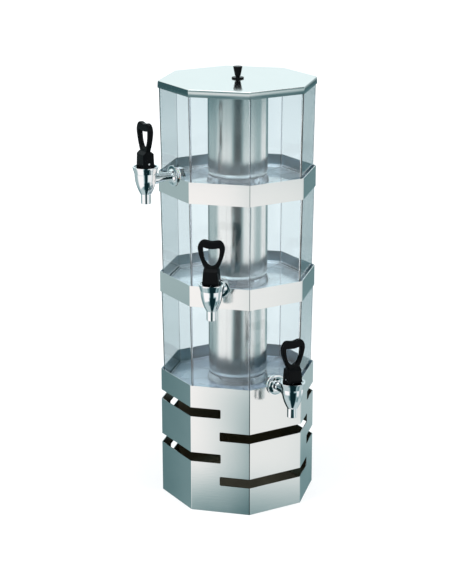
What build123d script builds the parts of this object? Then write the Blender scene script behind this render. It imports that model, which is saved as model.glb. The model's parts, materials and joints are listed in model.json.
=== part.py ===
from build123d import *
import os
from math import acos, atan, cos, degrees, radians, sin, tan

# Three-tier juice dispenser, in millimetres. The origin is the middle of the base's
# underside, +Z is up and the middle tap faces -Y, which is the front.
# A tier is modelled once, standing on Z = 0 with its tap facing -Y, and is then
# copied to its height and turned to the side its tap points to.

# Octagonal steel stand: the base, the two collars and the lid share one outline.
STAND_FLATS = 250.0
SHEET = 1.2
BEND = 2.4
BASE_HEIGHT = 228.0
BASE_FLANGE = 14.0
COLLAR_HEIGHT = 36.0
SEAT_DEPTH = 26.0
DECK_LEG = 9.0
WELD_GAP = 0.05

# Vent slots of the base: each runs over a corner face and half of the faces beside it.
# A row has two, at opposite corners, and the rows take the two pairs of corners by turns.
SLOT_ROWS = 4
SLOT_HEIGHT = 16.5
SLOT_PITCH = 41.0
SLOT_DROP = 47.4
SLOT_OVERLAP = 1.0
SLOT_ROUND = 2.0

# Clear moulded tank, narrower at the floor than at the rim.
TANK_HEIGHT = 175.5
TANK_WALL = 3.0
TANK_FLOOR = 5.0
TANK_LEAN = 3.0
TANK_CORNER = 6.0
TANK_FOOT_ROUND = 3.0
TANK_FLOOR_ROUND = 4.0
RIM_GAP = 0.3

# Steel ice tube and the clear ring that it stands in.
TUBE_DIAMETER = 101.0
TUBE_WALL = 1.0
TUBE_CORNER = 12.0
TUBE_HEADROOM = 4.0
TUBE_BEAD = 1.6
RING_STEP = 2.0
RING_FLARE = 2.5
RING_LEDGE = 20.5
RING_SEAT = 8.0
RING_LIP = 3.0
RING_ROUND = 1.4

# Lid with its seal and knob.
LID_DEPTH = 12.0
LID_SEAL = 2.0
LID_SEAL_WIDTH = 6.0
KNOB_HEIGHT = 20.5
KNOB_FOOT_DIAMETER = 20.5
KNOB_FOOT = 2.4
KNOB_NECK_DIAMETER = 7.0
KNOB_NECK = 2.2
KNOB_WAIST_DIAMETER = 9.5
KNOB_TOP_DIAMETER = 16.0
KNOB_ROUND = 1.0
SCREW_DIAMETER = 4.0
SCREW_HEAD_DIAMETER = 8.0
SCREW_HEAD = 2.6
SCREW_BITE = 10.0

# Tap: its shank lies TAP_RISE above the steel edge, and heights are from the shank axis.
TAP_RISE = 1.0
TAP_REACH = 52.0
SHANK_DIAMETER = 15.0
SHANK_BORE = 10.0
SHANK_TAIL = 3.0
PAD_DIAMETER = 34.0
PAD_PROUD = 0.5
NOTCH_WIDTH = 28.0
GASKET_DIAMETER = 26.0
INNER_GASKET = 2.0
NUT_FLATS = 24.0
NUT_THICKNESS = 8.0
ESCUTCHEON_DIAMETER = 35.5
ESCUTCHEON_THICKNESS = 6.0
ESCUTCHEON_EDGE = 1.8
ESCUTCHEON_NOSE_DIAMETER = 19.0
ESCUTCHEON_GAP = 0.6

# Tap body: spout, swelling bowl, side boss for the shank and threaded neck.
SPOUT_DIAMETER = 17.2
SPOUT_BORE = 12.2
SPOUT_END = -40.5
SPOUT_LIP = 0.8
BOWL_FOOT = -24.0
BOWL_FOOT_DIAMETER = 18.2
BOWL_MIDDLE = -10.8
BOWL_MIDDLE_DIAMETER = 30.0
BOWL_TOP = 11.0
BOWL_TOP_DIAMETER = 36.5
BOSS_DIAMETER = 19.0
BOSS_REACH = 21.0
CHAMBER_DIAMETER = 26.0
CHAMBER_FOOT_DIAMETER = 19.0
SEAT_LEVEL = -14.0
NECK_DIAMETER = 31.0
NECK_HEIGHT = 2.8

# Tap bonnet: a flared ring with a shallow dish that carries the lever's heel.
BONNET_ROOF = 14.0
BONNET_DISH = 19.5
BONNET_TOP = 22.0
BONNET_FOOT_DIAMETER = 37.6
BONNET_TOP_DIAMETER = 43.0
BONNET_DISH_DIAMETER = 37.4
BONNET_LIP = 1.1

# Lever handle: a heel on the bonnet with a finger loop above it.
TILT = 40.0
LIFT_PER_RADIAN = 4.0
PIN_DIAMETER = 3.0
PIN_HEIGHT = 8.0
PIN_INSET = 0.6
NOSE_STEPS = 4
HEEL_WIDTH = 28.0
HEEL_TOP = 48.0
HEEL_SHOULDER = 4.5
HEEL_ROUND = 1.8
NECK_WIDTH = 23.4
LOOP_TOP = 95.0
LOOP_DIP = 1.3
LOOP_CREST_WIDTH = 29.0
LOOP_WIDTH = 44.4
LOOP_SHOULDER = 84.0
LOOP_FLANK_WIDTH = 42.6
LOOP_FLANK = 74.0
LOOP_WAIST_WIDTH = 34.8
LOOP_WAIST = 61.0
LOOP_THICKNESS = 9.0
LOOP_ROUND = 2.5
HOLE_WIDTH = 28.6
HOLE_FOOT = 52.0
HOLE_TOE = 56.6
HOLE_TOE_WIDTH = 15.4
HOLE_SHOULDER = 66.0
HOLE_SHOULDER_WIDTH = 25.0
HOLE_TOP = 83.2
HOLE_BULGE = 2.6
HOLE_ROUND = 1.8

# Valve inside the tap: stem with an eye for the lever pin, rubber cup and spring.
STEM_DIAMETER = 5.0
EYE_DIAMETER = 9.0
EYE_THICKNESS = 6.0
FORK_GAP = 0.4
CUP_DIAMETER = 16.0
CUP_HEIGHT = 6.0
CUP_BOSS_DIAMETER = 11.0
CUP_BOSS = 3.0
CUP_GRIP = 6.0
SPRING_WIRE = 1.4
SPRING_TURNS = 5

# Clearances: between pieces that move past each other, under a piece that rests on
# another, between a pin and its eye, and between screwed or pressed pieces.
SLIP = 0.3
REST_GAP = 0.1
RUNNING = 0.05
SNUG = 0.02

# Sides that the taps face, in degrees turned from the front towards +X.
TAP_TURN = {"lower": 45.0, "middle": 0.0, "upper": -45.0}

# Places that follow from the sizes above.
inside_flats = STAND_FLATS - 2 * SHEET
deck_flats = inside_flats - 2 * WELD_GAP
tank_rim_flats = inside_flats - 2 * RIM_GAP
tank_foot_flats = tank_rim_flats - 2 * TANK_LEAN
tank_draft = degrees(atan(TANK_LEAN / TANK_HEIGHT))
tank_inner_floor_flats = tank_foot_flats + 2 * (TANK_FLOOR * tan(radians(tank_draft)) - TANK_WALL)
tier_pitch = TANK_HEIGHT + SHEET + 2 * REST_GAP
first_tier = BASE_HEIGHT - SEAT_DEPTH
tier_level = {
    "lower": first_tier,
    "middle": first_tier + tier_pitch,
    "upper": first_tier + 2 * tier_pitch,
}
rim_level = tier_level["upper"] + TANK_HEIGHT
seal_level = rim_level + REST_GAP
lid_underside = seal_level + LID_SEAL
lid_top = lid_underside + SHEET

tap_level = SEAT_DEPTH + TAP_RISE
tap_axis_distance = STAND_FLATS / 2 + TAP_REACH
wall_at_tap = tank_foot_flats / 2 + tap_level * tan(radians(tank_draft))
pad_outside = wall_at_tap + PAD_PROUD
pad_inside = wall_at_tap - TANK_WALL - PAD_PROUD
escutcheon_back = STAND_FLATS / 2 + ESCUTCHEON_GAP
nut_outside = pad_inside - INNER_GASKET
shank_inner_end = nut_outside - NUT_THICKNESS - SHANK_TAIL
shank_outer_end = tap_axis_distance - CHAMBER_DIAMETER / 2 - SLIP
shank_hole = SHANK_DIAMETER + 2 * RUNNING

heel_foot = BONNET_DISH + SLIP
pin_level = heel_foot + PIN_HEIGHT
cup_top = SEAT_LEVEL + CUP_HEIGHT
spring_radius = (CUP_DIAMETER - SPRING_WIRE) / 2 - SLIP

SHANK_SIDE = Plane(origin=(0, 0, tap_level), x_dir=(0, -1, 0), z_dir=(-1, 0, 0))
TAP_SIDE = Plane(origin=(0, -tap_axis_distance, tap_level), x_dir=(0, -1, 0), z_dir=(-1, 0, 0))
TAP_FRONT = Plane(origin=(0, -tap_axis_distance, tap_level), x_dir=(1, 0, 0), z_dir=(0, -1, 0))
PIN_SIDE = TAP_SIDE.offset(0).shift_origin(TAP_SIDE.from_local_coords((0, pin_level, 0)))
SHANK_AXIS = Axis((0, 0, tap_level), (0, -1, 0))
TAP_AXIS = Axis((0, -tap_axis_distance, 0), (0, 0, 1))


def save(part, name):
    """Write one finished piece under its own name."""
    part.label = name
    export_step(part, f"parts/{name}.step")


def octagon(flats, corner, level=0.0):
    """A rounded octagon whose flats face the X and Y axes and the diagonals."""
    with BuildSketch(Plane.XY.offset(level)) as outline:
        RegularPolygon(flats / 2, 8, major_radius=False, rotation=22.5)
        fillet(outline.vertices(), corner)
    return outline.sketch


def tap_notch(turn, level):
    """The notch, open at the top, that lets a shank down through a steel wall."""
    facing = Plane(
        origin=(0, 0, level),
        x_dir=(cos(radians(turn)), sin(radians(turn)), 0),
        z_dir=(sin(radians(turn)), -cos(radians(turn)), 0),
    )
    with BuildSketch(facing) as outline:
        Circle(NOTCH_WIDTH / 2)
        Rectangle(NOTCH_WIDTH, NOTCH_WIDTH, align=(Align.CENTER, Align.MIN))
    return outline.sketch


def shank_ring(hole, diameter, start, end):
    """Half the section of a plain ring on the shank, between two distances from the middle."""
    with BuildSketch(SHANK_SIDE) as section:
        with Locations((start, hole / 2)):
            Rectangle(end - start, (diameter - hole) / 2, align=(Align.MIN, Align.MIN))
    return section.sketch


def cam_point(angle):
    """A point of the heel's nose: turned down by the angle, it stands lower in proportion."""
    reach = PIN_HEIGHT + LIFT_PER_RADIAN * angle
    outward = reach * sin(angle) + LIFT_PER_RADIAN * cos(angle)
    upward = LIFT_PER_RADIAN * sin(angle) - reach * cos(angle)
    return outward, upward


os.makedirs("parts", exist_ok=True)

# Base: a slotted skirt folded in at the bottom, and the deck that the lower tank stands on.
with BuildPart() as slot_cutter:
    with Locations((SLOT_OVERLAP, SLOT_OVERLAP, 0)):
        Box(STAND_FLATS, STAND_FLATS, SLOT_HEIGHT, align=(Align.MAX, Align.MAX, Align.CENTER))
    ends_along_y = slot_cutter.edges().filter_by(Axis.Y).group_by(Axis.X)[-1]
    ends_along_x = slot_cutter.edges().filter_by(Axis.X).group_by(Axis.Y)[-1]
    fillet(ends_along_x + ends_along_y, SLOT_ROUND)

with BuildPart() as base_skirt:
    extrude(octagon(STAND_FLATS, BEND), amount=BASE_HEIGHT)
    extrude(octagon(inside_flats, BEND - SHEET, SHEET), amount=BASE_HEIGHT, mode=Mode.SUBTRACT)
    extrude(octagon(STAND_FLATS - 2 * BASE_FLANGE, BEND), amount=SHEET, mode=Mode.SUBTRACT)
    for row in range(SLOT_ROWS):
        level = BASE_HEIGHT - SLOT_DROP - row * SLOT_PITCH
        first_turn = 90 * (row % 2)
        for turn in (first_turn, first_turn + 180):
            with Locations(Location((0, 0, level), (0, 0, turn))):
                add(slot_cutter.part, mode=Mode.SUBTRACT)
    extrude(
        tap_notch(TAP_TURN["lower"], tier_level["lower"] + tap_level),
        amount=STAND_FLATS,
        mode=Mode.SUBTRACT,
    )
save(base_skirt.part, "base_skirt")

base_deck_level = first_tier - REST_GAP
with BuildPart() as base_deck:
    extrude(octagon(deck_flats, BEND, base_deck_level), amount=-DECK_LEG)
    extrude(
        octagon(deck_flats - 2 * SHEET, BEND, base_deck_level - SHEET),
        amount=-DECK_LEG,
        mode=Mode.SUBTRACT,
    )
save(base_deck.part, "base_deck")

# Collar between two tiers, and the deck welded inside it: it covers the tank below.
with BuildPart() as collar:
    extrude(octagon(STAND_FLATS, BEND, SEAT_DEPTH), amount=-COLLAR_HEIGHT)
    extrude(octagon(inside_flats, BEND - SHEET, SEAT_DEPTH), amount=-COLLAR_HEIGHT, mode=Mode.SUBTRACT)
    extrude(tap_notch(0, tap_level), amount=STAND_FLATS, mode=Mode.SUBTRACT)

with BuildPart() as collar_deck:
    extrude(octagon(deck_flats, BEND, -REST_GAP - SHEET), amount=DECK_LEG)
    extrude(octagon(deck_flats - 2 * SHEET, BEND, -REST_GAP), amount=DECK_LEG, mode=Mode.SUBTRACT)

# Tank: drafted walls, a thick floor and a flat pad for the tap's gaskets.
with BuildPart() as tank:
    extrude(octagon(tank_foot_flats, TANK_CORNER), amount=TANK_HEIGHT, taper=-tank_draft)
    fillet(tank.faces().sort_by(Axis.Z)[0].edges(), TANK_FOOT_ROUND)
    extrude(
        octagon(tank_inner_floor_flats, TANK_CORNER - TANK_WALL, TANK_FLOOR),
        amount=TANK_HEIGHT - TANK_FLOOR,
        taper=-tank_draft,
        mode=Mode.SUBTRACT,
    )
    inner_floor = tank.faces().filter_by(Plane.XY).sort_by(Axis.Z)[1]
    fillet(inner_floor.edges(), TANK_FLOOR_ROUND)
    with BuildSketch(Plane.XZ.offset(pad_inside)):
        with Locations((0, tap_level)):
            Circle(PAD_DIAMETER / 2)
    extrude(amount=pad_outside - pad_inside)
    with BuildSketch(Plane.XZ):
        with Locations((0, tap_level)):
            Circle(SHANK_DIAMETER / 2 + SLIP)
    extrude(amount=STAND_FLATS, mode=Mode.SUBTRACT)

# Clear ring on the tank floor, hollowed to take the round corner of the tube.
ring_radius = TUBE_DIAMETER / 2 + RING_STEP
ring_hole = TUBE_DIAMETER / 2 - RING_LEDGE
ring_foot = TANK_FLOOR + REST_GAP
ring_seat = ring_foot + RING_SEAT
ring_top = ring_seat + RING_LIP
tube_foot = ring_seat + REST_GAP
corner_radius = TUBE_DIAMETER / 2 - TUBE_CORNER
hollow = TUBE_CORNER + SLIP
hollow_start = acos((TUBE_CORNER + REST_GAP) / hollow)
hollow_end = acos((TUBE_CORNER + REST_GAP - RING_LIP) / hollow)
hollow_points = [
    (corner_radius + hollow * sin(turn), tube_foot + TUBE_CORNER - hollow * cos(turn))
    for turn in (hollow_start, (hollow_start + hollow_end) / 2, hollow_end)
]
with BuildPart() as tube_ring:
    with BuildSketch(Plane.XZ):
        with BuildLine():
            Polyline(
                hollow_points[0],
                (ring_hole, ring_seat),
                (ring_hole, ring_foot),
                (ring_radius, ring_foot),
                (ring_radius - RING_FLARE, ring_top),
                hollow_points[2],
            )
            ThreePointArc(*hollow_points)
        make_face()
    revolve(axis=Axis.Z)
    rim = tube_ring.edges().group_by(Axis.Z)[-1].sort_by(SortBy.RADIUS)[-1]
    fillet(rim, RING_ROUND)

# Ice tube: a deep drawn cup with a round corner and a beaded rim.
tube_top = TANK_HEIGHT - TUBE_HEADROOM
with BuildPart() as ice_tube:
    with Locations((0, 0, tube_foot)):
        Cylinder(
            TUBE_DIAMETER / 2,
            tube_top - tube_foot,
            align=(Align.CENTER, Align.CENTER, Align.MIN),
        )
    fillet(ice_tube.edges().sort_by(Axis.Z)[0], TUBE_CORNER)
    offset(amount=-TUBE_WALL, openings=ice_tube.faces().sort_by(Axis.Z)[-1])
    with BuildSketch(Plane.XZ):
        with Locations((TUBE_DIAMETER / 2, tube_top - TUBE_BEAD)):
            Circle(TUBE_BEAD)
        with Locations((0, 0)):
            Rectangle(TUBE_DIAMETER / 2 - TUBE_WALL, TANK_HEIGHT, align=Align.MIN, mode=Mode.SUBTRACT)
    revolve(axis=Axis.Z)

# Lid: a shallow pan with a seal under it, and a knob held by a screw from below.
with BuildPart() as lid_pan:
    extrude(octagon(STAND_FLATS, BEND, lid_top), amount=-LID_DEPTH)
    fillet(lid_pan.faces().sort_by(Axis.Z)[-1].edges(), BEND - SHEET)
    extrude(octagon(inside_flats, BEND - SHEET, lid_underside), amount=-LID_DEPTH, mode=Mode.SUBTRACT)
    with Locations((0, 0, lid_top)):
        Hole(SCREW_DIAMETER / 2 + SLIP, LID_DEPTH)
save(lid_pan.part, "lid_pan")

with BuildPart() as lid_seal:
    extrude(octagon(tank_rim_flats, TANK_CORNER, seal_level), amount=LID_SEAL)
    extrude(
        octagon(tank_rim_flats - 2 * LID_SEAL_WIDTH, TANK_CORNER, seal_level),
        amount=LID_SEAL,
        mode=Mode.SUBTRACT,
    )
save(lid_seal.part, "lid_seal")

with BuildPart() as lid_knob:
    with BuildSketch(Plane.XZ):
        with BuildLine():
            Polyline(
                (0, lid_top),
                (KNOB_FOOT_DIAMETER / 2, lid_top),
                (KNOB_FOOT_DIAMETER / 2, lid_top + KNOB_FOOT),
                (KNOB_NECK_DIAMETER / 2, lid_top + KNOB_FOOT),
                (KNOB_NECK_DIAMETER / 2, lid_top + KNOB_FOOT + KNOB_NECK),
                (KNOB_WAIST_DIAMETER / 2, lid_top + KNOB_FOOT + KNOB_NECK),
                (KNOB_TOP_DIAMETER / 2, lid_top + KNOB_HEIGHT),
                (0, lid_top + KNOB_HEIGHT),
                close=True,
            )
        make_face()
    revolve(axis=Axis.Z)
    foot_edge = lid_knob.edges().filter_by_position(Axis.Z, lid_top + KNOB_FOOT, lid_top + KNOB_FOOT)
    fillet(foot_edge.sort_by(SortBy.RADIUS)[-1], KNOB_ROUND)
    fillet(lid_knob.edges().group_by(Axis.Z)[-1], KNOB_ROUND)
    with Locations(Location((0, 0, lid_top), (180, 0, 0))):
        Hole(SCREW_DIAMETER / 2 + SNUG, SCREW_BITE + SLIP)
save(lid_knob.part, "lid_knob")

with BuildPart() as knob_screw:
    with Locations((0, 0, lid_underside)):
        Cylinder(SCREW_HEAD_DIAMETER / 2, SCREW_HEAD, align=(Align.CENTER, Align.CENTER, Align.MAX))
        Cylinder(
            SCREW_DIAMETER / 2,
            SHEET + SCREW_BITE,
            align=(Align.CENTER, Align.CENTER, Align.MIN),
        )
    fillet(knob_screw.edges().sort_by(Axis.Z)[0], SCREW_HEAD / 3)
save(knob_screw.part, "knob_screw")

# Tap body: a turned bowl on a spout, with the valve chamber and the shank's socket cut in.
with BuildPart() as tap_body:
    with BuildSketch(TAP_SIDE):
        with BuildLine():
            Polyline(
                (BOWL_TOP_DIAMETER / 2, BOWL_TOP),
                (NECK_DIAMETER / 2, BOWL_TOP),
                (NECK_DIAMETER / 2, BOWL_TOP + NECK_HEIGHT),
                (0, BOWL_TOP + NECK_HEIGHT),
                (0, SPOUT_END),
                (SPOUT_DIAMETER / 2, SPOUT_END),
                (SPOUT_DIAMETER / 2, BOWL_FOOT),
                (BOWL_FOOT_DIAMETER / 2, BOWL_FOOT),
            )
            ThreePointArc(
                (BOWL_FOOT_DIAMETER / 2, BOWL_FOOT),
                (BOWL_MIDDLE_DIAMETER / 2, BOWL_MIDDLE),
                (BOWL_TOP_DIAMETER / 2, BOWL_TOP),
            )
        make_face()
    revolve(axis=TAP_AXIS)
    fillet(tap_body.edges().sort_by(Axis.Z)[0], SPOUT_LIP)
    with BuildSketch(SHANK_SIDE):
        with Locations((tap_axis_distance - BOSS_REACH, 0)):
            Rectangle(BOSS_REACH, BOSS_DIAMETER / 2, align=(Align.MIN, Align.MIN))
    revolve(axis=SHANK_AXIS)
    with BuildSketch(TAP_SIDE):
        Polygon(
            (0, SPOUT_END),
            (SPOUT_BORE / 2, SPOUT_END),
            (SPOUT_BORE / 2, SEAT_LEVEL),
            (CHAMBER_FOOT_DIAMETER / 2, SEAT_LEVEL),
            (CHAMBER_DIAMETER / 2, 0),
            (CHAMBER_DIAMETER / 2, BOWL_TOP + NECK_HEIGHT),
            (0, BOWL_TOP + NECK_HEIGHT),
            align=None,
        )
    revolve(axis=TAP_AXIS, mode=Mode.SUBTRACT)
    with BuildSketch(SHANK_SIDE):
        with Locations((0, 0)):
            Rectangle(tap_axis_distance, SHANK_BORE / 2, align=Align.MIN)
            Rectangle(shank_outer_end, shank_hole / 2, align=Align.MIN)
    revolve(axis=SHANK_AXIS, mode=Mode.SUBTRACT)

# Shank and what clamps it to the tank wall, from the tap inwards.
with BuildPart() as tap_shank:
    revolve(shank_ring(SHANK_BORE, SHANK_DIAMETER, shank_inner_end, shank_outer_end), axis=SHANK_AXIS)

with BuildPart() as tap_escutcheon:
    nose = escutcheon_back + ESCUTCHEON_THICKNESS
    with BuildSketch(SHANK_SIDE):
        with BuildLine():
            Polyline(
                (nose, ESCUTCHEON_NOSE_DIAMETER / 2),
                (nose, shank_hole / 2),
                (escutcheon_back, shank_hole / 2),
                (escutcheon_back, ESCUTCHEON_DIAMETER / 2),
                (escutcheon_back + ESCUTCHEON_EDGE, ESCUTCHEON_DIAMETER / 2),
            )
            TangentArc(
                (nose, ESCUTCHEON_NOSE_DIAMETER / 2),
                (escutcheon_back + ESCUTCHEON_EDGE, ESCUTCHEON_DIAMETER / 2),
                tangent=(0, -1),
                tangent_from_first=False,
            )
        make_face()
    revolve(axis=SHANK_AXIS)

with BuildPart() as tap_outer_gasket:
    revolve(shank_ring(shank_hole, GASKET_DIAMETER, pad_outside, escutcheon_back), axis=SHANK_AXIS)

with BuildPart() as tap_inner_gasket:
    revolve(shank_ring(shank_hole, GASKET_DIAMETER, nut_outside, pad_inside), axis=SHANK_AXIS)

with BuildPart() as tap_nut:
    with BuildSketch(Plane.XZ.offset(nut_outside - NUT_THICKNESS)):
        with Locations((0, tap_level)):
            RegularPolygon(NUT_FLATS / 2, 6, major_radius=False)
            Circle(shank_hole / 2, mode=Mode.SUBTRACT)
    extrude(amount=NUT_THICKNESS)

# Bonnet screwed on the neck: it closes the chamber and guides the stem.
with BuildPart() as tap_bonnet:
    with BuildSketch(TAP_SIDE):
        Polygon(
            (NECK_DIAMETER / 2 + RUNNING, BOWL_TOP),
            (BONNET_FOOT_DIAMETER / 2, BOWL_TOP),
            (BONNET_TOP_DIAMETER / 2, BONNET_TOP - BONNET_LIP),
            (BONNET_TOP_DIAMETER / 2, BONNET_TOP),
            (BONNET_DISH_DIAMETER / 2, BONNET_TOP),
            (BONNET_DISH_DIAMETER / 2, BONNET_DISH),
            (STEM_DIAMETER / 2 + SLIP, BONNET_DISH),
            (STEM_DIAMETER / 2 + SLIP, BONNET_ROOF),
            (NECK_DIAMETER / 2 + RUNNING, BONNET_ROOF),
            align=None,
        )
    revolve(axis=TAP_AXIS)

# Lever handle: the finger loop first, then the heel under it with its fork and pin hole.
loop_foot = HEEL_TOP - HEEL_SHOULDER
loop_right = [
    (LOOP_CREST_WIDTH / 2, LOOP_TOP),
    (LOOP_WIDTH / 2, LOOP_SHOULDER),
    (LOOP_FLANK_WIDTH / 2, LOOP_FLANK),
    (LOOP_WAIST_WIDTH / 2, LOOP_WAIST),
    (NECK_WIDTH / 2, HEEL_TOP),
]
loop_left = [(-across, up) for across, up in reversed(loop_right)]
with BuildPart() as finger_loop:
    with BuildSketch(TAP_FRONT):
        with BuildLine():
            Spline(*loop_left, (0, LOOP_TOP - LOOP_DIP), *loop_right)
            Polyline(
                loop_right[-1],
                (NECK_WIDTH / 2, loop_foot),
                (-NECK_WIDTH / 2, loop_foot),
                loop_left[0],
            )
        make_face()
    extrude(amount=LOOP_THICKNESS / 2, both=True)
    with BuildSketch(TAP_FRONT) as finger_hole:
        with BuildLine():
            Spline(
                (-HOLE_WIDTH / 2, HOLE_TOP),
                (-HOLE_SHOULDER_WIDTH / 2, HOLE_SHOULDER),
                (-HOLE_TOE_WIDTH / 2, HOLE_TOE),
                (0, HOLE_FOOT),
                (HOLE_TOE_WIDTH / 2, HOLE_TOE),
                (HOLE_SHOULDER_WIDTH / 2, HOLE_SHOULDER),
                (HOLE_WIDTH / 2, HOLE_TOP),
            )
            ThreePointArc(
                (-HOLE_WIDTH / 2, HOLE_TOP),
                (0, HOLE_TOP - HOLE_BULGE),
                (HOLE_WIDTH / 2, HOLE_TOP),
            )
        make_face()
        fillet(finger_hole.vertices(), HOLE_ROUND)
    extrude(amount=LOOP_THICKNESS, both=True, mode=Mode.SUBTRACT)
    flat_sides = finger_loop.faces().filter_by(Axis.Y)
    fillet(flat_sides.edges(), LOOP_ROUND)

nose_points = [cam_point(radians(TILT) * step / NOSE_STEPS) for step in range(NOSE_STEPS + 1)]
heel_depth = nose_points[-1][0]
with BuildPart() as tap_handle:
    with BuildSketch(PIN_SIDE):
        with BuildLine():
            Spline(*nose_points)
            Polyline(
                nose_points[-1],
                (heel_depth, HEEL_TOP - HEEL_SHOULDER - pin_level),
                (LOOP_THICKNESS / 2, HEEL_TOP - pin_level),
                (-LOOP_THICKNESS / 2, HEEL_TOP - pin_level),
                (-heel_depth, HEEL_TOP - HEEL_SHOULDER - pin_level),
                (-heel_depth, -PIN_HEIGHT),
                nose_points[0],
            )
        make_face()
    extrude(amount=HEEL_WIDTH / 2, both=True)
    with BuildSketch(TAP_FRONT):
        Polygon(
            (-HEEL_WIDTH / 2, heel_foot),
            (HEEL_WIDTH / 2, heel_foot),
            (NECK_WIDTH / 2, HEEL_TOP),
            (-NECK_WIDTH / 2, HEEL_TOP),
            align=None,
        )
    extrude(amount=2 * heel_depth, both=True, mode=Mode.INTERSECT)
    upright = tap_handle.edges().filter_by(lambda edge: abs(edge.tangent_at(0.5).Z) > 0.7)
    fillet(upright.filter_by(GeomType.LINE), HEEL_ROUND)
    add(finger_loop.part)
    with BuildSketch(PIN_SIDE):
        Circle(EYE_DIAMETER / 2 + FORK_GAP)
        for turn in (0, TILT / 2, TILT):
            with Locations(Location((0, 0, 0), (0, 0, turn))):
                Rectangle(
                    STEM_DIAMETER + 2 * FORK_GAP,
                    2 * PIN_HEIGHT,
                    align=(Align.CENTER, Align.MAX),
                )
    extrude(amount=EYE_THICKNESS / 2 + FORK_GAP, both=True, mode=Mode.SUBTRACT)
    with BuildSketch(PIN_SIDE):
        Circle(PIN_DIAMETER / 2 + SNUG)
    extrude(amount=HEEL_WIDTH, both=True, mode=Mode.SUBTRACT)

with BuildPart() as tap_pin:
    with BuildSketch(PIN_SIDE):
        Circle(PIN_DIAMETER / 2)
    extrude(amount=HEEL_WIDTH / 2 - PIN_INSET, both=True)

# Valve: the stem hangs on the lever pin and carries the cup, which a spring holds shut.
cup_boss_top = cup_top + CUP_BOSS
stem_foot = cup_boss_top - CUP_GRIP
with BuildPart() as tap_stem:
    with BuildSketch(TAP_SIDE):
        with Locations((0, stem_foot)):
            Rectangle(STEM_DIAMETER / 2, pin_level - stem_foot, align=Align.MIN)
    revolve(axis=TAP_AXIS)
    with BuildSketch(PIN_SIDE):
        Circle(EYE_DIAMETER / 2)
    extrude(amount=EYE_THICKNESS / 2, both=True)
    with BuildSketch(PIN_SIDE):
        Circle(PIN_DIAMETER / 2 + RUNNING)
    extrude(amount=EYE_THICKNESS, both=True, mode=Mode.SUBTRACT)

with BuildPart() as tap_cup:
    with BuildSketch(TAP_SIDE):
        Polygon(
            (0, SEAT_LEVEL),
            (CUP_DIAMETER / 2, SEAT_LEVEL),
            (CUP_DIAMETER / 2, cup_top),
            (CUP_BOSS_DIAMETER / 2, cup_top),
            (CUP_BOSS_DIAMETER / 2, cup_boss_top),
            (STEM_DIAMETER / 2 + SNUG, cup_boss_top),
            (STEM_DIAMETER / 2 + SNUG, stem_foot),
            (0, stem_foot),
            align=None,
        )
    revolve(axis=TAP_AXIS)

spring_foot = cup_top + SPRING_WIRE / 2 + RUNNING
spring_height = BONNET_ROOF - cup_top - SPRING_WIRE - 2 * RUNNING
with BuildPart() as tap_spring:
    with BuildLine(Plane.XY) as coil:
        Helix(
            spring_height / SPRING_TURNS,
            spring_height,
            spring_radius,
            center=(0, -tap_axis_distance, tap_level + spring_foot),
        )
    with BuildSketch(Plane(origin=coil.line @ 0, z_dir=coil.line % 0)):
        Circle(SPRING_WIRE / 2)
    sweep(is_frenet=True)

# Copies: every tier gets its tank, tube and tap, and the two upper tiers stand in a collar.
tier_pieces = {
    "tank": tank,
    "tube_ring": tube_ring,
    "ice_tube": ice_tube,
    "tap_body": tap_body,
    "tap_shank": tap_shank,
    "tap_escutcheon": tap_escutcheon,
    "tap_outer_gasket": tap_outer_gasket,
    "tap_inner_gasket": tap_inner_gasket,
    "tap_nut": tap_nut,
    "tap_bonnet": tap_bonnet,
    "tap_handle": tap_handle,
    "tap_pin": tap_pin,
    "tap_stem": tap_stem,
    "tap_cup": tap_cup,
    "tap_spring": tap_spring,
}
collar_pieces = {"collar": collar, "deck": collar_deck}
for tier, turn in TAP_TURN.items():
    place = Location((0, 0, tier_level[tier]), (0, 0, turn))
    pieces = tier_pieces if tier == "lower" else tier_pieces | collar_pieces
    for name, piece in pieces.items():
        save(piece.part.moved(place), f"{tier}_{name}")
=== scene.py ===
# %% [markdown]
# # A three-tier juice dispenser
# Three clear octagonal tanks stand on a slotted steel base, with steel collars between them. Each tank holds
# a steel ice tube and has its own chrome tap. The solids come ready at their real size, in metres, so this
# lesson is about the looks: the studio, the finishes, and two shapes that the solids leave plain, which are
# the rim of the lid and the springs in the taps.

# %% Load the solids
import json
from math import cos, pi, radians, sin

import bmesh
import bpy
from mathutils import Matrix, Vector


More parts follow.
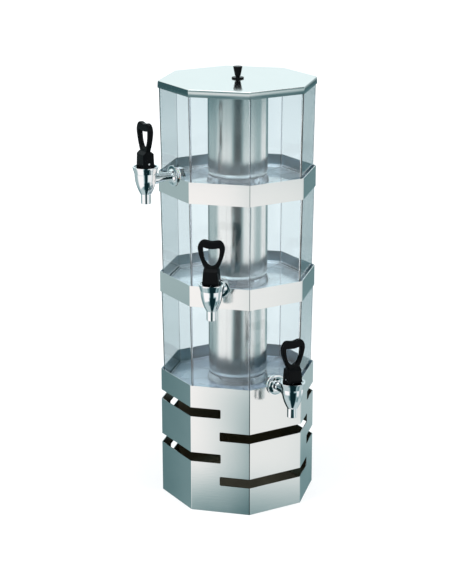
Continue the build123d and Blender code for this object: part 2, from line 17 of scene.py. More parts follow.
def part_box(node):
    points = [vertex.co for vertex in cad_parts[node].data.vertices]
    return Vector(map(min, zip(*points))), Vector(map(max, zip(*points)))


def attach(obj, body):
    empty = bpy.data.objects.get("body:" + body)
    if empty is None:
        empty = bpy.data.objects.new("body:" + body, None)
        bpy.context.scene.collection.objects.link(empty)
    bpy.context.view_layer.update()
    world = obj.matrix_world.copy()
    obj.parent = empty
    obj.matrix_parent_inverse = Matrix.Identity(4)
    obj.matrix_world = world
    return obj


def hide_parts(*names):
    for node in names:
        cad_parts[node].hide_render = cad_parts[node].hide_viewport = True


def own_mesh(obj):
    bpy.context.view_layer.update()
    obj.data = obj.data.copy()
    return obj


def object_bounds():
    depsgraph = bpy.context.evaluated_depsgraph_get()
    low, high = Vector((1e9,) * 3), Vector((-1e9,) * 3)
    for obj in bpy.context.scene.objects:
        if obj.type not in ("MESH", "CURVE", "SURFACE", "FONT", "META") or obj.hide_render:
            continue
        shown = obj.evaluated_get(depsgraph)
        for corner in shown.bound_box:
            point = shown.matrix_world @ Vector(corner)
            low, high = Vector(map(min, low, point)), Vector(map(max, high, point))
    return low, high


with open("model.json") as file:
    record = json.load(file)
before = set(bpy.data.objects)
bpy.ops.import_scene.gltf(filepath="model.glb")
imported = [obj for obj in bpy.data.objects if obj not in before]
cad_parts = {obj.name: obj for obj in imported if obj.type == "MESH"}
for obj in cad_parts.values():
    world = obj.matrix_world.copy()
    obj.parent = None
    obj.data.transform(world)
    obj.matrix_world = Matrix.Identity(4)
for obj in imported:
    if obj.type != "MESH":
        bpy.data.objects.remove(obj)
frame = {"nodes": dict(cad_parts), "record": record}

scene = bpy.context.scene
nodes = frame["nodes"]
cad_low, cad_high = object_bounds()
print(len(nodes), "solids,", round(cad_high.z - cad_low.z, 4), "m tall")

# %% [markdown]
# The photo was taken from a little right of the front and from above, with a long lens. A camera looks along
# its own -Z, so it is first tipped up to look along +Y, then turned about Z towards the middle of the tower.
# The angles are measured from the front, which is -Y, towards +X.

# %% Camera
CAMERA_AZIMUTH = radians(13.95)
CAMERA_DISTANCE = 2.8
CAMERA_HEIGHT = 1.2166
CAMERA_PITCH = radians(-16.99)
CAMERA_YAW = radians(0.418)
CAMERA_ROLL = radians(0.118)
LENS_MM = 103.95

camera_data = bpy.data.cameras.new("photo_camera")
camera_data.lens = LENS_MM
camera = bpy.data.objects.new("photo_camera", camera_data)
camera_place = Vector((
    CAMERA_DISTANCE * sin(CAMERA_AZIMUTH),
    -CAMERA_DISTANCE * cos(CAMERA_AZIMUTH),
    CAMERA_HEIGHT,
))
camera.matrix_world = (
    Matrix.Translation(camera_place)
    @ Matrix.Rotation(CAMERA_AZIMUTH + CAMERA_YAW, 4, "Z")
    @ Matrix.Rotation(pi / 2 + CAMERA_PITCH, 4, "X")
    @ Matrix.Rotation(-CAMERA_ROLL, 4, "Z")
)
scene.collection.objects.link(camera)
scene.camera = camera
scene.view_settings.view_transform = "Standard"
print("camera", [round(v, 3) for v in camera.matrix_world.translation])

# %% [markdown]
# Polished steel has almost no colour of its own: it shows the studio. So the studio is made first, with three
# helpers that keep shaders short. The world is plain. It is white where the camera sees it directly, a pale
# blue backdrop where it shows through the tanks, and a soft grey for the light that falls on the tower. The
# dull plates inside the tower get a stronger light, because the clear walls round them gather it and lead it
# down to them.

# %% Plain world
def put(tree, kind, inputs=None, **settings):
    """Add a shader node with some settings, and fill its inputs with values or with other nodes' outputs."""
    node = tree.nodes.new(kind)
    for name, value in settings.items():
        setattr(node, name, value)
    for key, value in (inputs or {}).items():
        if isinstance(value, bpy.types.NodeSocket):
            tree.links.new(value, node.inputs[key])
        else:
            node.inputs[key].default_value = value
    return node


def calc(tree, operation, *values):
    """One step of arithmetic in a shader."""
    return put(tree, "ShaderNodeMath", dict(enumerate(values)), operation=operation).outputs[0]


def blend_colours(tree, factor, first, second):
    """A mix of two colours, given as values or as outputs."""
    inputs = {"Factor": factor, 6: first, 7: second}
    return put(tree, "ShaderNodeMix", inputs, data_type="RGBA").outputs[2]


WHITE = (1.0, 1.0, 1.0, 1.0)
BACKDROP = (0.86, 0.945, 0.97, 1.0)
INSIDE_LIGHT = (2.0, 2.2, 2.3, 1.0)
ROOM_LIGHT = (0.80, 0.84, 0.86, 1.0)
HALF_BOUNCE = 0.5  # tells no bounce from one or more

world = bpy.data.worlds.new("studio")
world.use_nodes = True
scene.world = world
tree = world.node_tree
tree.nodes.clear()
path = put(tree, "ShaderNodeLightPath").outputs
unmirrored = calc(tree, "LESS_THAN", path["Glossy Depth"], HALF_BOUNCE)
through = calc(tree, "MULTIPLY", path["Is Transmission Ray"], unmirrored)
led_in = calc(tree, "GREATER_THAN", path["Diffuse Depth"], HALF_BOUNCE)
behind = blend_colours(tree, led_in, BACKDROP, INSIDE_LIGHT)
shown = blend_colours(tree, through, ROOM_LIGHT, behind)
shown = blend_colours(tree, path["Is Camera Ray"], shown, WHITE)
background = put(tree, "ShaderNodeBackground", {"Color": shown, "Strength": 1.0})
put(tree, "ShaderNodeOutputWorld", {"Surface": background.outputs[0]})
print("plain world with room light", ROOM_LIGHT[:3])

# %% [markdown]
# Photographers put a tent of pale cloth round polished things. This one is an upright tube of cloth that only
# reflections see. Its panels are lit from behind or covered with black card, and a later panel lies over the
# earlier ones. Broad lights stand left and right of the camera and a narrow one behind the tower, with a dark
# gap for the camera and its stand. Cards darken what the side faces and the foot of the base mirror. A card,
# a light and a shade above each other draw the lines on the edge of the lid.

# %% Panels of the tent
# Wider than a full turn, and past both ends of the tube, so that no soft edge shows there.
ALL_ROUND = 400
DEEP, HIGH = -6.0, 6.0

# Middle and width in degrees from the front towards the right, foot and top in metres, brightness.
PANELS = {
    "plain foot": (0, ALL_ROUND, DEEP, -0.55, 0.62),
    "left light": (-38, 64, -0.46, 0.40, 1.06),
    "right light": (55, 54, -0.46, 0.38, 0.96),
    "back light": (131, 34, -0.35, 0.58, 1.00),
    "right card": (164, 30, -0.06, 0.50, 0.26),
    "back card": (206, 56, DEEP, 0.50, 0.14),
    "lid card": (0, ALL_ROUND, 0.50, 0.64, 0.05),
    "lid light": (8, 130, 0.62, 0.84, 0.84),
    "left lid card": (-104, 40, 0.50, 1.0, 0.10),
    "high card": (96, 60, 0.86, HIGH, 0.06),
    "front shade": (-10, 240, 0.86, HIGH, 0.03),
    "left foot": (-14, 20, -0.95, -0.45, 0.25),
    "right foot": (76, 24, -0.95, -0.50, 0.25),
    "far right foot": (166, 20, -0.95, -0.38, 0.26),
    "left card": (-106, 18, DEEP, -0.06, 0.18),
    "camera gap": (15, 34, DEEP, 0.70, 0.02),
    "camera stand": (24, 66, DEEP, -0.15, 0.02),
}
brightest = max(PANELS, key=lambda name: PANELS[name][-1])
print(len(PANELS), "panels, and the brightest is the", brightest)

# %% [markdown]
# How bright the cloth is. A painted picture could say it, but a shader can work it out from the panels: the
# turn about Z and the height tell how far inside a panel a point is, with soft edges. The panels are blended
# over each other as plain brightness, which is one number instead of three.

# %% Brightness of the cloth
PLAIN_CLOTH = 0.50
SOFT_TURN = 18
SOFT_HEIGHT = 0.2
HALF_TURN = 180


def bare_material(name):
    """A material whose shader is still empty."""
    material = bpy.data.materials.new(name)
    material.use_nodes = True
    material.node_tree.nodes.clear()
    return material, material.node_tree


def turn_of(tree, across, ahead):
    """The turn of a point about Z, in degrees."""
    return calc(tree, "MULTIPLY", calc(tree, "ARCTAN2", across, ahead), HALF_TURN / pi)


def within(tree, value, middle, width, soft):
    """1 within half the width of the middle, falling to 0 over a soft edge."""
    away = calc(tree, "ABSOLUTE", calc(tree, "SUBTRACT", value, middle))
    inner, outer = (width - soft) / 2, (width + soft) / 2
    edge = {"Value": away, "From Min": inner, "From Max": outer, "To Min": 1.0, "To Max": 0.0}
    return put(tree, "ShaderNodeMapRange", edge, interpolation_type="SMOOTHSTEP").outputs[0]


cloth, tree = bare_material("tent_cloth")
cloth.cycles.emission_sampling = "NONE"
place = put(tree, "ShaderNodeTexCoord").outputs["Object"]
xyz = put(tree, "ShaderNodeSeparateXYZ", {0: place}).outputs
turn = turn_of(tree, xyz["X"], calc(tree, "MULTIPLY", xyz["Y"], -1.0))
level = PLAIN_CLOTH
across = {}
for name, (middle_turn, width, foot, top, brightness) in PANELS.items():
    turned = calc(tree, "WRAP", calc(tree, "SUBTRACT", turn, middle_turn), HALF_TURN, -HALF_TURN)
    across[name] = within(tree, turned, 0.0, width, SOFT_TURN)
    upward = within(tree, xyz["Z"], (foot + top) / 2, top - foot, SOFT_HEIGHT)
    mix = {"Factor": calc(tree, "MULTIPLY", across[name], upward), 2: level, 3: brightness}
    level = put(tree, "ShaderNodeMix", mix).outputs[0]
print("brightness of", len(across), "panels in", len(tree.nodes), "nodes")

# %% [markdown]
# Its colour. Dark cloth looks cooler than bright cloth, so the brightness is raised to a different power for
# each channel. High up, where the high card doesn't cover it, the cloth is bright, from lower down at the back
# than at the front, which makes the top of the lid pale. To every ray that hasn't met a mirror yet, the cloth
# is clear.

# %% Colour of the cloth
RED_POWER, BLUE_POWER = 1.38, 0.95
TOP_COLOUR = (0.88, 1.02, 1.04, 1.0)
BACK_TOP, FRONT_TOP = 0.64, 1.0

red = calc(tree, "POWER", level, RED_POWER)
blue = calc(tree, "POWER", level, BLUE_POWER)
cool = put(tree, "ShaderNodeCombineColor", {0: red, 1: level, 2: blue}).outputs[0]
climb = {"Value": across["front shade"], "To Min": BACK_TOP, "To Max": FRONT_TOP}
top_from = put(tree, "ShaderNodeMapRange", climb).outputs[0]
above = calc(tree, "SUBTRACT", xyz["Z"], top_from)
edge = {"Value": above, "From Min": -SOFT_HEIGHT / 2, "From Max": SOFT_HEIGHT / 2}
up_there = put(tree, "ShaderNodeMapRange", edge, interpolation_type="SMOOTHSTEP").outputs[0]
bare_top = calc(tree, "MULTIPLY", up_there, calc(tree, "SUBTRACT", 1.0, across["high card"]))
glow = put(tree, "ShaderNodeEmission", {"Color": blend_colours(tree, bare_top, cool, TOP_COLOUR)})
clear = put(tree, "ShaderNodeBsdfTransparent")
path = put(tree, "ShaderNodeLightPath").outputs
mirrored = calc(tree, "GREATER_THAN", path["Glossy Depth"], HALF_BOUNCE)
mix = put(tree, "ShaderNodeMixShader", {0: mirrored, 1: clear.outputs[0], 2: glow.outputs[0]})
put(tree, "ShaderNodeOutputMaterial", {"Surface": mix.outputs[0]})
print("tent cloth of", len(tree.nodes), "nodes")

# %% [markdown]
# The tube of cloth. An extruded curve could make it too, but a cone with two equal radii and no caps is a tube
# at once. It stands close to the tower, so that a flat face gets a gradient across it.

# %% Tent
TENT_RADIUS = 1.2
TENT_FOOT, TENT_TOP = -4.0, 5.0
TENT_SIDES = 96


def stage_object(name, shape, material):
    """Make a piece of the studio from a bmesh, which is used up."""
    mesh = bpy.data.meshes.new(name)
    shape.to_mesh(mesh)
    shape.free()
    mesh.materials.append(material)
    piece = bpy.data.objects.new(name, mesh)
    scene.collection.objects.link(piece)
    return piece


tube = bmesh.new()
bmesh.ops.create_cone(
    tube,
    segments=TENT_SIDES,
    radius1=TENT_RADIUS,
    radius2=TENT_RADIUS,
    depth=TENT_TOP - TENT_FOOT,
)
bmesh.ops.translate(tube, verts=tube.verts, vec=(0, 0, (TENT_TOP + TENT_FOOT) / 2))
tent = stage_object("light_tent", tube, cloth)
tent.visible_camera = False
tent.visible_diffuse = False
tent.visible_shadow = False
print("light tent,", 2 * TENT_RADIUS, "m wide")

# %% [markdown]
# The floor is a wide pale sheet. It catches the soft shadow, and a little light of its own, more of it far
# away, brings it up to white for the camera and to the backdrop's blue for what shows through the tanks. Seen
# from this height, steel would mirror nothing but floor, so reflections pass through it to the foot of the
# tent, except under the base, where it stays solid, is painted dark as its shadow, and keeps the light out from
# below.

# %% Floor
FLOOR_SIZE = 14.0
FLOOR_DROP = 0.0005
FLOOR_COLOUR = (0.42, 0.425, 0.43, 1.0)
# Painted shadow for the floor under the base.
PAINTED_BASE_SHADOW = (0.16, 0.15, 0.11, 1.0)
NEAR_GLOW, FAR_GLOW = 0.50, 0.80
NEAR, FAR = 0.5, 2.0
UNDER_BASE = 0.118

pale_floor, tree = bare_material("pale_floor")
path = put(tree, "ShaderNodeLightPath").outputs
place = put(tree, "ShaderNodeTexCoord").outputs["Object"]
from_middle = put(tree, "ShaderNodeVectorMath", {0: place}, operation="LENGTH").outputs["Value"]
open_floor = calc(tree, "GREATER_THAN", from_middle, UNDER_BASE)
# Under the base the floor is painted dark, as the base's shadow.
colour = blend_colours(tree, open_floor, PAINTED_BASE_SHADOW, FLOOR_COLOUR)
matt = put(tree, "ShaderNodeBsdfDiffuse", {"Color": colour})
rise = {"Value": from_middle, "From Min": NEAR, "From Max": FAR, "To Min": NEAR_GLOW, "To Max": FAR_GLOW}
lit = calc(tree, "MULTIPLY", path["Is Camera Ray"], put(tree, "ShaderNodeMapRange", rise).outputs[0])
glow = put(tree, "ShaderNodeEmission", {"Strength": calc(tree, "MULTIPLY", lit, open_floor)})
white_floor = put(tree, "ShaderNodeAddShader", {0: matt.outputs[0], 1: glow.outputs[0]})
blue_floor = put(tree, "ShaderNodeEmission", {"Color": BACKDROP})
through = calc(tree, "MULTIPLY", path["Is Transmission Ray"], open_floor)
solid = put(tree, "ShaderNodeMixShader", {0: through, 1: white_floor.outputs[0], 2: blue_floor.outputs[0]})
clear = put(tree, "ShaderNodeBsdfTransparent")
mirrored = calc(tree, "GREATER_THAN", path["Glossy Depth"], HALF_BOUNCE)
passed = calc(tree, "MULTIPLY", mirrored, open_floor)
mix = put(tree, "ShaderNodeMixShader", {0: passed, 1: solid.outputs[0], 2: clear.outputs[0]})
put(tree, "ShaderNodeOutputMaterial", {"Surface": mix.outputs[0]})

sheet = bmesh.new()
bmesh.ops.create_grid(sheet, x_segments=1, y_segments=1, size=FLOOR_SIZE / 2)
bmesh.ops.translate(sheet, verts=sheet.verts, vec=(0, 0, cad_low.z - FLOOR_DROP))
stage_object("floor", sheet, pale_floor)
print("floor", FLOOR_SIZE, "m wide")

# %% [markdown]
# Three large lamps give the soft shadow: one on each side of the camera and one overhead. The tent casts no
# shadow, so the two at the sides can stand outside it. A lamp shines along its own -Z, and to_track_quat()
# turns that towards the middle of the tower.

# %% Lamps
# Place and size in metres, power in watts.
LAMPS = {
    "left_softbox": ((-1.6, -1.8, 1.7), 1.4, 40.0),
    "right_softbox": ((2.2, -1.2, 1.6), 1.4, 36.0),
    "top_softbox": ((0.1, 0.2, 2.6), 1.8, 22.0),
}
middle = (cad_low + cad_high) / 2
for name, (place, size, power) in LAMPS.items():
    lamp = bpy.data.lights.new(name, "AREA")
    lamp.size = size
    lamp.energy = power
    holder = bpy.data.objects.new(name, lamp)
    facing = (middle - Vector(place)).to_track_quat("-Z", "Y").to_matrix().to_4x4()
    holder.matrix_world = Matrix.Translation(place) @ facing
    scene.collection.objects.link(holder)
print(len(LAMPS), "lamps")

# %% [markdown]
# Finishes come next, and the simplest are first: the chrome of the taps, which has only a faint haze, and the
# drawn steel of the pins, stems, springs and screw. Every finish starts from the Principled shader. What is the
# same all over a surface is set on the shader's own sockets, and only what varies is made from noise. Pictures
# of a finish would need a UV map on every solid, while noise in Object coordinates needs none and stays with
# the piece when it moves.

# %% Chrome and drawn steel
NOISE_LOW, NOISE_HIGH = 0.3, 0.7


def finish(name, **sockets):
    """A material with a Principled shader whose sockets are set by name."""
    material = bpy.data.materials.new(name)
    material.use_nodes = True
    shader = material.node_tree.nodes["Principled BSDF"]
    for socket, value in sockets.items():
        shader.inputs[socket.replace("_", " ")].default_value = value
    return material, material.node_tree, shader


def noise(tree, scale, detail, drawn_out=(1, 1, 1)):
    """Noise in Object coordinates, drawn out along the axes that have small numbers."""
    place = put(tree, "ShaderNodeTexCoord").outputs["Object"]
    mapped = put(tree, "ShaderNodeMapping", {"Vector": place, "Scale": drawn_out}).outputs[0]
    inputs = {"Vector": mapped, "Scale": scale, "Detail": detail}
    return put(tree, "ShaderNodeTexNoise", inputs).outputs["Fac"]


def between(tree, value, low, high):
    """Noise, spread from one limit to the other."""
    inputs = {"Value": value, "From Min": NOISE_LOW, "From Max": NOISE_HIGH, "To Min": low, "To Max": high}
    return put(tree, "ShaderNodeMapRange", inputs).outputs[0]


def roughened(tree, shader, value, low, high):
    """Vary the roughness between two limits."""
    tree.links.new(between(tree, value, low, high), shader.inputs["Roughness"])


def tinted(tree, shader, factor, first, second):
    """Blend the base colour between two close shades."""
    colour = blend_colours(tree, factor, (*first, 1.0), (*second, 1.0))
    tree.links.new(colour, shader.inputs["Base Color"])


def chrome_plate():
    material, tree, shader = finish("chrome_plate", Metallic=1.0)
    haze = noise(tree, scale=60, detail=2)
    tinted(tree, shader, haze, (0.86, 0.87, 0.88), (0.90, 0.91, 0.92))
    roughened(tree, shader, haze, 0.03, 0.07)
    return material


def drawn_steel():
    material, tree, shader = finish("drawn_steel", Metallic=1.0)
    grain = noise(tree, scale=400, detail=2)
    tinted(tree, shader, grain, (0.58, 0.59, 0.60), (0.66, 0.67, 0.68))
    roughened(tree, shader, grain, 0.22, 0.32)
    return material


FINISHES = {"chrome": chrome_plate(), "spring_steel": drawn_steel()}
print("finishes:", ", ".join(FINISHES))

# %% [markdown]
# Polished sheet, for the base, the collars and the lid. It is nearly a mirror outside, with a fine grain from
# the last polishing belt, faint smears and the slight waviness that every thin sheet has. Inside it is left
# dull, as it comes from the mill, and painted darker and bluer as shade; below the deck of the base, where
# hardly any light gets in, it takes a darker, warmer painted shade. A face is an inside one where its normal
# points back at the tower's axis.

# %% Polished sheet
INWARD = -0.02
UNDER_DECK = 0.2
BRIGHT = (0.80, 0.80, 0.785, 1.0), (0.86, 0.86, 0.845, 1.0)
# Painted shade for the inside faces, and below the deck a darker, warmer painted shade.
DULL_AND_SHADED_INSIDE = (0.30, 0.43, 0.50, 1.0), (0.35, 0.48, 0.55, 1.0)
SHADE = (0.20, 0.18, 0.13, 1.0)
MILL_ROUGHNESS = 0.2
BELT_GRAIN = (30, 30, 1500)
GRAIN_SHARE = 0.02
WAVE_DEPTH = 0.0006


def bumped(tree, shader, height, distance):
    """Drive the shader's normal by a height."""
    bump = put(tree, "ShaderNodeBump", {"Height": height, "Distance": distance, "Strength": 1.0})
    tree.links.new(bump.outputs[0], shader.inputs["Normal"])


def polished_sheet():
    material, tree, shader = finish("polished_sheet", Metallic=1.0)
    smear = noise(tree, scale=14, detail=3)
    grain = noise(tree, scale=1.0, detail=1, drawn_out=BELT_GRAIN)
    wave = noise(tree, scale=9, detail=0)
    here = put(tree, "ShaderNodeTexCoord").outputs
    sideways = {0: here["Object"], 1: (1, 1, 0)}
    from_axis = put(tree, "ShaderNodeVectorMath", sideways, operation="MULTIPLY").outputs[0]
    facing = {0: from_axis, 1: here["Normal"]}
    outward = put(tree, "ShaderNodeVectorMath", facing, operation="DOT_PRODUCT").outputs["Value"]
    inside = calc(tree, "LESS_THAN", outward, INWARD)
    height = put(tree, "ShaderNodeSeparateXYZ", {0: here["Object"]}).outputs["Z"]
    shaded = calc(tree, "LESS_THAN", height, UNDER_DECK)
    # Inside faces take a painted shade, darker and bluer, and those below the deck a darker, warmer one.
    dull_and_shaded = blend_colours(tree, shaded, blend_colours(tree, smear, *DULL_AND_SHADED_INSIDE), SHADE)
    colour = blend_colours(tree, inside, blend_colours(tree, smear, *BRIGHT), dull_and_shaded)
    tree.links.new(colour, shader.inputs["Base Color"])
    polish = between(tree, smear, 0.08, 0.14)
    rough = calc(tree, "ADD", polish, calc(tree, "MULTIPLY", inside, MILL_ROUGHNESS))
    tree.links.new(rough, shader.inputs["Roughness"])
    relief = calc(tree, "ADD", calc(tree, "MULTIPLY", grain, GRAIN_SHARE), wave)
    bumped(tree, shader, relief, WAVE_DEPTH)
    return material


FINISHES["polished_sheet"] = polished_sheet()
print("polished sheet with waves", WAVE_DEPTH, "m deep")

# %% [markdown]
# The decks are plates with a dull, pale surface that scatters light, and the one in the base is darker than
# those in the collars. The ice tubes are brushed along their length, which gives soft, upright reflections.

# %% Decks and ice tubes
DECK_GRAIN = (20, 900, 900)
DECK_GRAIN_DEPTH = 0.00001
TUBE_GRAIN = (900, 900, 6)
TUBE_GRAIN_DEPTH = 0.000006


def deck_sheet(name, first, second):
    material, tree, shader = finish(name, Metallic=0.15)
    smear = noise(tree, scale=20, detail=3)
    grain = noise(tree, scale=1.0, detail=1, drawn_out=DECK_GRAIN)
    tinted(tree, shader, smear, first, second)
    roughened(tree, shader, smear, 0.22, 0.32)
    bumped(tree, shader, grain, DECK_GRAIN_DEPTH)
    return material


def brushed_tube():
    material, tree, shader = finish("brushed_tube", Metallic=1.0)
    grain = noise(tree, scale=1.0, detail=2, drawn_out=TUBE_GRAIN)
    smear = noise(tree, scale=18, detail=2)
    tinted(tree, shader, grain, (0.84, 0.84, 0.82), (0.90, 0.90, 0.875))
    roughened(tree, shader, smear, 0.17, 0.23)
    bumped(tree, shader, grain, TUBE_GRAIN_DEPTH)
    return material


FINISHES["base_deck"] = deck_sheet("base_deck", (0.40, 0.47, 0.56), (0.45, 0.52, 0.61))
FINISHES["deck_sheet"] = deck_sheet("deck_sheet", (0.84, 0.91, 0.97), (0.88, 0.94, 0.99))
FINISHES["brushed_tube"] = brushed_tube()
print("finishes:", ", ".join(FINISHES))

# %% [markdown]
# The tanks are clear with a faint blue tint. They let the lamps' light through, which a solid glass shader
# would block: for shadow rays the surface is simply transparent. At the eight corners the bent sheet turns the
# light aside, so a thin dark line of painted shade runs down each of them, with a faint painted highlight
# beside it.

# %% Clear tanks
TANK_TINT = (0.945, 0.97, 0.98, 1.0)
# Painted shade and painted highlight for the corner lines.
PAINTED_CORNER_SHADE = (0.15, 0.17, 0.21, 1.0)
PAINTED_CORNER_HIGHLIGHT = (0.96, 0.98, 1.0, 1.0)
HIGHLIGHT_SHARE = 0.12
CORNER_STEP = 45
LINE_WIDTH = 0.5
LINE_SOFT = 0.3


def clear_tank():
    material, tree, shader = finish(
        "clear_tank",
        Transmission_Weight=1.0,
        IOR=1.45,
        Specular_IOR_Level=0.2,
    )
    haze = noise(tree, scale=25, detail=2)
    roughened(tree, shader, haze, 0.0, 0.03)
    place = put(tree, "ShaderNodeTexCoord").outputs["Object"]
    xyz = put(tree, "ShaderNodeSeparateXYZ", {0: place}).outputs
    turn = turn_of(tree, xyz["Y"], xyz["X"])
    past_corner = calc(tree, "SUBTRACT", turn, CORNER_STEP / 2)
    past_corner = calc(tree, "WRAP", past_corner, CORNER_STEP / 2, -CORNER_STEP / 2)
    # A thin dark line of painted shade at each corner, and beside it a white diffuse line of painted highlight.
    corner_shade = within(tree, past_corner, LINE_WIDTH / 2, LINE_WIDTH, LINE_SOFT)
    tree.links.new(blend_colours(tree, corner_shade, TANK_TINT, PAINTED_CORNER_SHADE), shader.inputs["Base Color"])
    beside = within(tree, past_corner, -LINE_WIDTH / 2, LINE_WIDTH, LINE_SOFT)
    highlight_mix = calc(tree, "MULTIPLY", beside, HIGHLIGHT_SHARE)
    corner_highlight = put(tree, "ShaderNodeBsdfDiffuse", {"Color": PAINTED_CORNER_HIGHLIGHT})
    wall = put(tree, "ShaderNodeMixShader", {0: highlight_mix, 1: shader.outputs[0], 2: corner_highlight.outputs[0]})
    path = put(tree, "ShaderNodeLightPath").outputs
    clear = put(tree, "ShaderNodeBsdfTransparent", {"Color": TANK_TINT})
    shadow = {0: path["Is Shadow Ray"], 1: wall.outputs[0], 2: clear.outputs[0]}
    mix = put(tree, "ShaderNodeMixShader", shadow)
    tree.links.new(mix.outputs[0], tree.nodes["Material Output"].inputs["Surface"])
    return material


FINISHES["clear_tank"] = clear_tank()
print("clear tanks with corner lines", LINE_WIDTH, "degrees wide")

# %% [markdown]
# The other plastics. The ring that an ice tube stands in is moulded, and a little frosted. Handles and knob are
# black with a fine spark texture and hardly any shine. Gaskets, valve cups and the lid's seal are silicone,
# which lets some light in and scatters it.

# %% Ring, handles and seals
SPARK_DEPTH = 0.00004
CLOUD_DEPTH = 0.00005


def frosted_ring():
    material, tree, shader = finish(
        "frosted_ring",
        Transmission_Weight=0.9,
        IOR=1.3,
        Specular_IOR_Level=0.4,
    )
    frost = noise(tree, scale=30, detail=1)
    tinted(tree, shader, frost, (0.81, 0.87, 0.93), (0.84, 0.89, 0.94))
    roughened(tree, shader, frost, 0.10, 0.14)
    return material


def black_plastic():
    material, tree, shader = finish("black_plastic", Specular_IOR_Level=0.05)
    spark = noise(tree, scale=2500, detail=1)
    wear = noise(tree, scale=90, detail=3)
    tinted(tree, shader, wear, (0.002, 0.0025, 0.003), (0.004, 0.0045, 0.005))
    roughened(tree, shader, wear, 0.18, 0.28)
    bumped(tree, shader, spark, SPARK_DEPTH)
    return material


def silicone():
    material, tree, shader = finish("silicone", Subsurface_Weight=0.3, Subsurface_Scale=0.004)
    cloud = noise(tree, scale=120, detail=2)
    tinted(tree, shader, cloud, (0.76, 0.77, 0.76), (0.84, 0.85, 0.84))
    roughened(tree, shader, cloud, 0.45, 0.6)
    bumped(tree, shader, cloud, CLOUD_DEPTH)
    return material


FINISHES["frosted_ring"] = frosted_ring()
FINISHES["black_plastic"] = black_plastic()
FINISHES["silicone"] = silicone()
print(len(FINISHES), "finishes in all")

# %% [markdown]
# Dressing the solids. The triangles of a solid aren't joined, so a curved wall would show its facets in a
# mirror finish. Three modifiers mend that without touching the mesh: weld the points, split the real edges
# again, and weight the normals by the size of the faces. Most solids take the finish that the record names,
# and a few have one of their own.

# %% Dress the solids
SHARP = radians(24)
WELD_DISTANCE = 0.000002
OWN_FINISH = {"base_deck": "base_deck", "deck": "deck_sheet", "tube_ring": "frosted_ring"}
slot_of = {part["node"]: part["material_slot"] for part in frame["record"]["subparts"]}


def smooth(piece):
    """Shade a piece smoothly between its real edges."""
    split = piece.modifiers.new("split", "EDGE_SPLIT")
    split.split_angle = SHARP
    weigh = piece.modifiers.new("weigh", "WEIGHTED_NORMAL")
    weigh.mode = "FACE_AREA"


def dress(name, node):
    """Give a solid its finish and smooth shading."""
    own = (look for ending, look in OWN_FINISH.items() if name.endswith(ending))
    look = next(own, slot_of[name])
    for slot in node.material_slots:
        slot.material = FINISHES[look]
    weld = node.modifiers.new("weld", "WELD")
    weld.merge_threshold = WELD_DISTANCE
    smooth(node)


for name, node in nodes.items():
    dress(name, node)
print("dressed", len(nodes), "solids")

# %% [markdown]
# The lid is pressed from one sheet, so its rim isn't quite upright: it leans in a little more towards the top,
# and a mirror finish makes that plain, with light and dark lines along the rim. The solid has a straight rim. A
# lattice could bend it, but moving points by a rule is exact: a copy of the solid is joined up, its flat faces
# are cleared of triangles, and the rim is cut into level strips, whose outer points then move in by the cube
# of their height.

# %% Pressed lid
FLAT = radians(0.5)
LID_SHEET = 0.0012
FOLD = 0.0016
RIM_STRIPS = 12
LEAN = 0.0007


def new_piece(name, shape, look):
    """Make a piece of the dispenser from a bmesh, which is used up."""
    mesh = bpy.data.meshes.new(name)
    shape.to_mesh(mesh)
    shape.free()
    mesh.materials.append(FINISHES[look])
    piece = bpy.data.objects.new(name, mesh)
    scene.collection.objects.link(piece)
    return piece


lid_low, lid_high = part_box("lid_pan")
flat_side = lid_high.x
fold_foot = lid_high.z - LID_SHEET
face_turns = [radians(turn) for turn in range(0, 2 * HALF_TURN, CORNER_STEP)]
outward_ways = [Vector((cos(turn), sin(turn), 0)) for turn in face_turns]
press = bmesh.new()
press.from_mesh(nodes["lid_pan"].data)
bmesh.ops.remove_doubles(press, verts=press.verts, dist=WELD_DISTANCE)
bmesh.ops.dissolve_limit(press, angle_limit=FLAT, verts=press.verts, edges=press.edges)
for strip in range(1, RIM_STRIPS):
    bmesh.ops.bisect_plane(
        press,
        geom=press.verts[:] + press.edges[:] + press.faces[:],
        plane_co=(0, 0, lid_low.z + (fold_foot - lid_low.z) * strip / RIM_STRIPS),
        plane_no=(0, 0, 1),
    )
for point in press.verts:
    inset = flat_side - max(point.co.dot(way) for way in outward_ways)
    in_fold = point.co.z > fold_foot + WELD_DISTANCE and inset < FOLD
    if inset < LID_SHEET / 2 or in_fold:
        up = min(1.0, (point.co.z - lid_low.z) / (fold_foot - lid_low.z))
        narrower = 1 - LEAN * up**3 / flat_side
        bmesh.ops.scale(press, verts=[point], vec=(narrower, narrower, 1))
for face in press.faces:
    face.smooth = True
pressed_lid = new_piece("pressed_lid", press, "polished_sheet")
smooth(pressed_lid)
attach(pressed_lid, "lid")
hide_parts("lid_pan")
print("pressed lid with", len(pressed_lid.data.polygons), "faces, leaning in by", LEAN, "m")

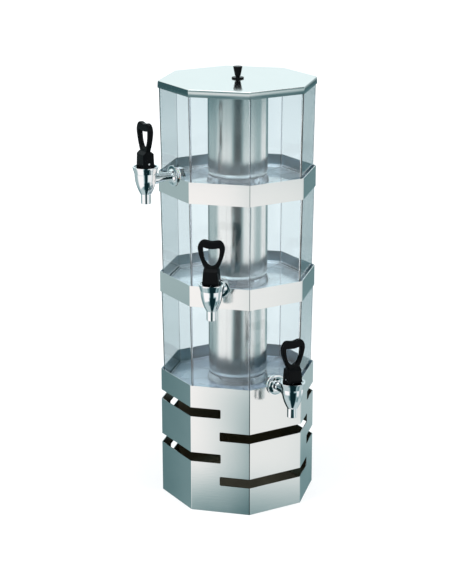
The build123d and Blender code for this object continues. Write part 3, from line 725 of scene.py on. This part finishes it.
# %% [markdown]
# The springs that hold the valves shut. The solid one is a plain coil that can't shorten, so the rubber cup
# would run into it when a lever opens its valve. A real one is wound from wire, and its last turn at each end
# lies flat on what it presses. A curve with a bevel could make the coil too, but spinning a small circle that
# climbs as it goes gives clean rings of faces.

# %% Valve springs
WIRE = 0.0014
WIRE_SIDES = 10
END_PITCH = 0.0015
SPRUNG_TURNS = 4
STEPS_PER_TURN = 24
QUAD = 4


def wind(coil, end, axis_point, turns, climb):
    """Carry the end of the wire on, round an upright axis and upwards, and return the new end."""
    steps = turns * STEPS_PER_TURN
    wound = bmesh.ops.spin(
        coil,
        geom=end,
        cent=axis_point,
        axis=(0, 0, 1),
        dvec=(0, 0, climb / steps),
        angle=2 * pi * turns,
        steps=steps,
    )
    return wound["geom_last"]


def wound_spring(name, low, high):
    """A spring of round wire that fills a box."""
    foot = Vector(((low.x + high.x) / 2, (low.y + high.y) / 2, low.z + WIRE / 2))
    radius = (high.x - low.x - WIRE) / 2
    coil = bmesh.new()
    bmesh.ops.create_circle(coil, cap_ends=True, segments=WIRE_SIDES, radius=WIRE / 2)
    bmesh.ops.rotate(coil, verts=coil.verts, matrix=Matrix.Rotation(pi / 2, 3, "X"))
    bmesh.ops.translate(coil, verts=coil.verts, vec=foot + Vector((radius, 0, 0)))
    end = coil.verts[:] + coil.edges[:] + coil.faces[:]
    end = wind(coil, end, foot, 1, END_PITCH)
    end = wind(coil, end, foot, SPRUNG_TURNS, high.z - low.z - WIRE - 2 * END_PITCH)
    wind(coil, end, foot, 1, END_PITCH)
    bmesh.ops.recalc_face_normals(coil, faces=coil.faces)
    for face in coil.faces:
        face.smooth = len(face.verts) == QUAD
    return new_piece(name, coil, "spring_steel")


for tier in ("lower", "middle", "upper"):
    spring_low, spring_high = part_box(f"{tier}_tap_spring")
    spring = wound_spring(f"{tier}_valve_spring", spring_low, spring_high)
    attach(spring, f"{tier}_tank")
    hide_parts(f"{tier}_tap_spring")
    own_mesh(spring)
